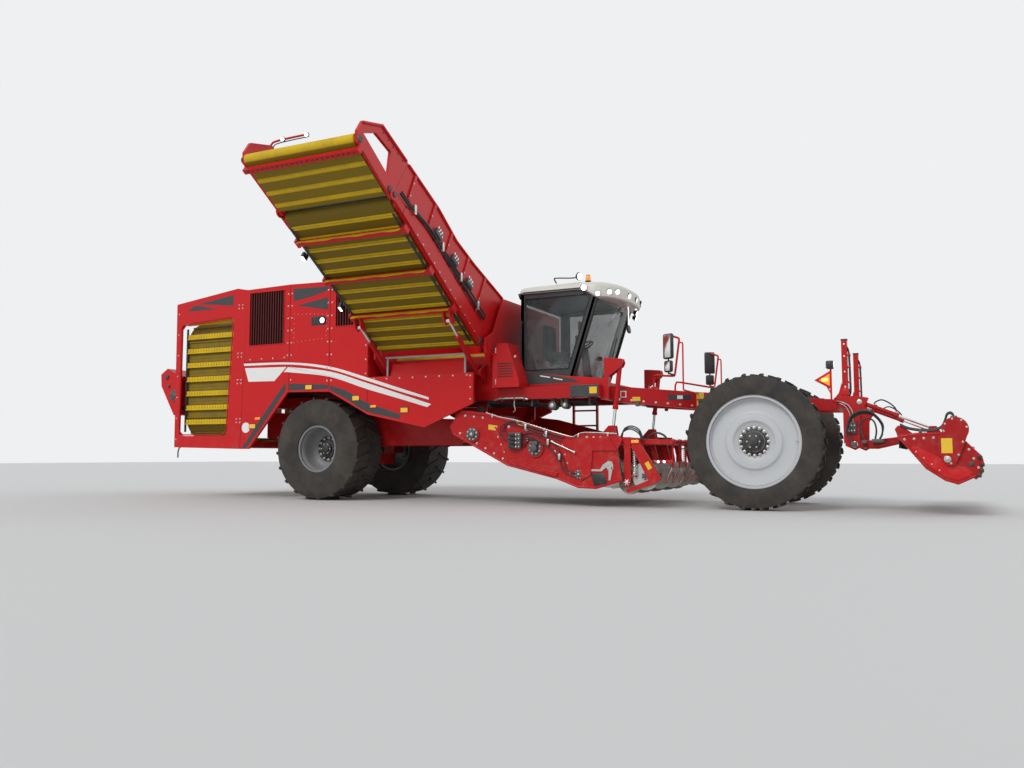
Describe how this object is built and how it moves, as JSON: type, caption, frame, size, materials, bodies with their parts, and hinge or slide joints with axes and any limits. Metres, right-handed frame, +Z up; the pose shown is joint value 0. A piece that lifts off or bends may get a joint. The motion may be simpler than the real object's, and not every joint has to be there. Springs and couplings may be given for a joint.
{
  "type": "self-propelled potato harvester",
  "caption": "Self-propelled root harvester with cab, front haulm topper, underslung digging unit, ring elevator, bunker and a raised side discharge elevator.",
  "frame": {"origin": "on the ground under the middle of the whole machine's box", "axes": "+X to the front, +Y to the machine's left, +Z up"},
  "size_m": [15.06, 6.9098, 5.5464],
  "materials": {
    "red_paint": "gloss enamel with field dust",
    "engine_metal": "dark painted casting",
    "grille_paint": "dark satin paint",
    "web_yellow": "yellow flights with earth on them",
    "web_steel": "worn rods with earth",
    "grey_paint": "satin grey",
    "cab_dark": "dark grey satin",
    "cab_cream": "off-white roof moulding",
    "cab_glass": "tinted",
    "black_plastic": "black moulded plastic",
    "lamp_lens": "lamp lens",
    "black_steel": "black paint",
    "rim_silver": "silver-grey paint",
    "tyre": "dusty rubber",
    "bare_steel": "polished by the soil",
    "chrome_rod": "hard chrome"
  },
  "bodies": {
    "chassis": {"main_frame": "red_paint", "neck": "red_paint", "tow_jaw": "red_paint", "front_axle": "red_paint", "rear_axle": "red_paint", "side_panel_right": "red_paint", "side_panel_left": "red_paint", "body_inner": "red_paint", "engine": "engine_metal", "grilles": "grille_paint", "ring_frame": "red_paint", "ring_elevator": "web_yellow", "tail_hood": "red_paint", "web_channel": "red_paint", "sieving_web": "web_yellow", "bunker": "red_paint", "bunker_floor": "web_yellow", "handrails": "grey_paint", "cab_shell": "cab_dark", "cab_roof": "cab_cream", "cab_glass": "cab_glass", "cab_seat": "black_plastic", "cab_skirt": "red_paint", "side_hood": "red_paint", "deck_ladder": "red_paint", "mirrors": "black_plastic", "lamps": "lamp_lens"},
    "door": {"cab_door": "cab_dark", "door_glass": "cab_glass"},
    "left_knuckle": {"knuckle_left": "black_steel"},
    "right_knuckle": {"knuckle_right": "black_steel"},
    "steering_link": {"tie_rod": "black_steel"},
    "front_left_wheel": {"front_rim_left": "rim_silver", "front_tyre_left": "tyre"},
    "front_right_wheel": {"front_rim_right": "rim_silver", "front_tyre_right": "tyre"},
    "rear_left_wheel": {"rear_rim_left": "rim_silver", "rear_tyre_left": "tyre"},
    "rear_right_wheel": {"rear_rim_right": "rim_silver", "rear_tyre_right": "tyre"},
    "digger": {"dig_frame": "red_paint", "dig_web": "web_steel", "dig_shares": "bare_steel"},
    "ridge_reel": {"ridge_rollers": "black_steel"},
    "coulters": {"disc_coulters": "bare_steel"},
    "dig_cylinders": {"dig_barrels": "red_paint"},
    "dig_cylinder_rods": {"dig_rods": "chrome_rod"},
    "elevator": {"elevator_frame": "red_paint", "elevator_belt": "web_yellow"},
    "elevator_tip": {"elevator_head": "red_paint", "head_belt": "web_yellow"},
    "elevator_cylinders": {"elevator_barrels": "red_paint"},
    "elevator_cylinder_rods": {"elevator_rods": "chrome_rod"},
    "topper": {"topper_hood": "red_paint"},
    "flail_rotor": {"topper_rotor": "black_steel"},
    "topper_cylinders": {"topper_barrels": "red_paint"},
    "topper_cylinder_rods": {"topper_rods": "chrome_rod"}
  },
  "joints": [
    {"name": "steer_left", "type": "hinge", "parent": "chassis", "child": "left_knuckle", "pos_m": [4.5, 2.60488, 1.028], "axis": [0, 0, 1], "range_deg": [-28, 28]},
    {"name": "steer_right", "type": "hinge", "parent": "chassis", "child": "right_knuckle", "pos_m": [4.5, 0.90488, 1.028], "axis": [0, 0, 1], "range_deg": [-28.5, 28.5]},
    {"name": "link_turn", "type": "hinge", "parent": "left_knuckle", "child": "steering_link", "pos_m": [4.17, 2.60488, 0.711], "axis": [0, 0, 1], "range_deg": [-28.5, 28.5]},
    {"name": "front_left_spin", "type": "hinge", "parent": "left_knuckle", "child": "front_left_wheel", "pos_m": [4.5, 2.95988, 1.028], "axis": [0, 1, 0], "continuous": true},
    {"name": "front_right_spin", "type": "hinge", "parent": "right_knuckle", "child": "front_right_wheel", "pos_m": [4.5, 0.54988, 1.028], "axis": [0, 1, 0], "continuous": true},
    {"name": "rear_left_spin", "type": "hinge", "parent": "chassis", "child": "rear_left_wheel", "pos_m": [-3.4, 3.01688, 0.95], "axis": [0, 1, 0], "continuous": true},
    {"name": "rear_right_spin", "type": "hinge", "parent": "chassis", "child": "rear_right_wheel", "pos_m": [-3.4, 0.49288, 0.95], "axis": [0, 1, 0], "continuous": true},
    {"name": "dig_lift", "type": "hinge", "parent": "chassis", "child": "digger", "pos_m": [-0.25, 1.75488, 1.62], "axis": [0, -1, 0], "range_deg": [-8, 4]},
    {"name": "dig_cylinder_turn", "type": "hinge", "parent": "chassis", "child": "dig_cylinders", "pos_m": [2.34, 1.75488, 2.33], "axis": [0, -1, 0], "range_deg": [-1.88, 1.44]},
    {"name": "dig_cylinder_stroke", "type": "slide", "parent": "dig_cylinders", "child": "dig_cylinder_rods", "axis": [-0.1195, 0, -0.9928], "range_m": [-0.1831, 0.3563]},
    {"name": "ridge_spin", "type": "hinge", "parent": "digger", "child": "ridge_reel", "pos_m": [2.58, 1.75488, 0.4], "axis": [0, 1, 0], "continuous": true},
    {"name": "coulter_spin", "type": "hinge", "parent": "digger", "child": "coulters", "pos_m": [2.86, 1.75488, 0.5], "axis": [0, 1, 0], "continuous": true},
    {"name": "elevator_lift", "type": "hinge", "parent": "chassis", "child": "elevator", "pos_m": [-1.035, 0.27488, 2.695], "axis": [-1, 0, 0], "range_deg": [-24, 30]},
    {"name": "head_fold", "type": "hinge", "parent": "elevator", "child": "elevator_tip", "pos_m": [-1.035, -2.54385, 4.59626], "axis": [-1, 0, 0], "range_deg": [-50, 0]},
    {"name": "elevator_cylinder_turn", "type": "hinge", "parent": "chassis", "child": "elevator_cylinders", "pos_m": [-1.035, 0.35488, 2.25], "axis": [-1, 0, 0], "range_deg": [-18.56, 22.95]},
    {"name": "elevator_cylinder_stroke", "type": "slide", "parent": "elevator_cylinders", "child": "elevator_cylinder_rods", "axis": [0, -0.7849, 0.6197], "range_m": [-0.1282, 0.1578]},
    {"name": "topper_lift", "type": "hinge", "parent": "chassis", "child": "topper", "pos_m": [5.9, 1.75488, 0.98], "axis": [0, -1, 0], "range_deg": [-14, 20]},
    {"name": "topper_cylinder_turn", "type": "hinge", "parent": "chassis", "child": "topper_cylinders", "pos_m": [5.98, 1.75488, 1.6], "axis": [0, -1, 0], "range_deg": [-13.31, 18.59]},
    {"name": "topper_cylinder_stroke", "type": "slide", "parent": "topper_cylinders", "child": "topper_cylinder_rods", "axis": [0.9248, 0, -0.3805], "range_m": [-0.221, 0.1577]},
    {"name": "rotor_spin", "type": "hinge", "parent": "topper", "child": "flail_rotor", "pos_m": [7.1, 1.75488, 0.77], "axis": [0, 1, 0], "continuous": true},
    {"name": "door_swing", "type": "hinge", "parent": "chassis", "child": "door", "pos_m": [0.516, 2.72488, 2.9], "axis": [0, 0, 1], "range_deg": [0, 75]}
  ],
  "couplings": [
    {"joint": "steer_right", "follows": "steer_left", "ratio": 1},
    {"joint": "link_turn", "follows": "steer_left", "ratio": -1},
    {"joint": "dig_cylinder_turn", "follows": "dig_lift", "ratio": 0.1097},
    {"joint": "dig_cylinder_stroke", "follows": "dig_lift", "m_per_rad": -2.4799},
    {"joint": "elevator_cylinder_turn", "follows": "elevator_lift", "ratio": 0.7315},
    {"joint": "elevator_cylinder_stroke", "follows": "elevator_lift", "m_per_rad": 0.2823},
    {"joint": "topper_cylinder_turn", "follows": "topper_lift", "ratio": 0.8796},
    {"joint": "topper_cylinder_stroke", "follows": "topper_lift", "m_per_rad": -0.6045}
  ]
}
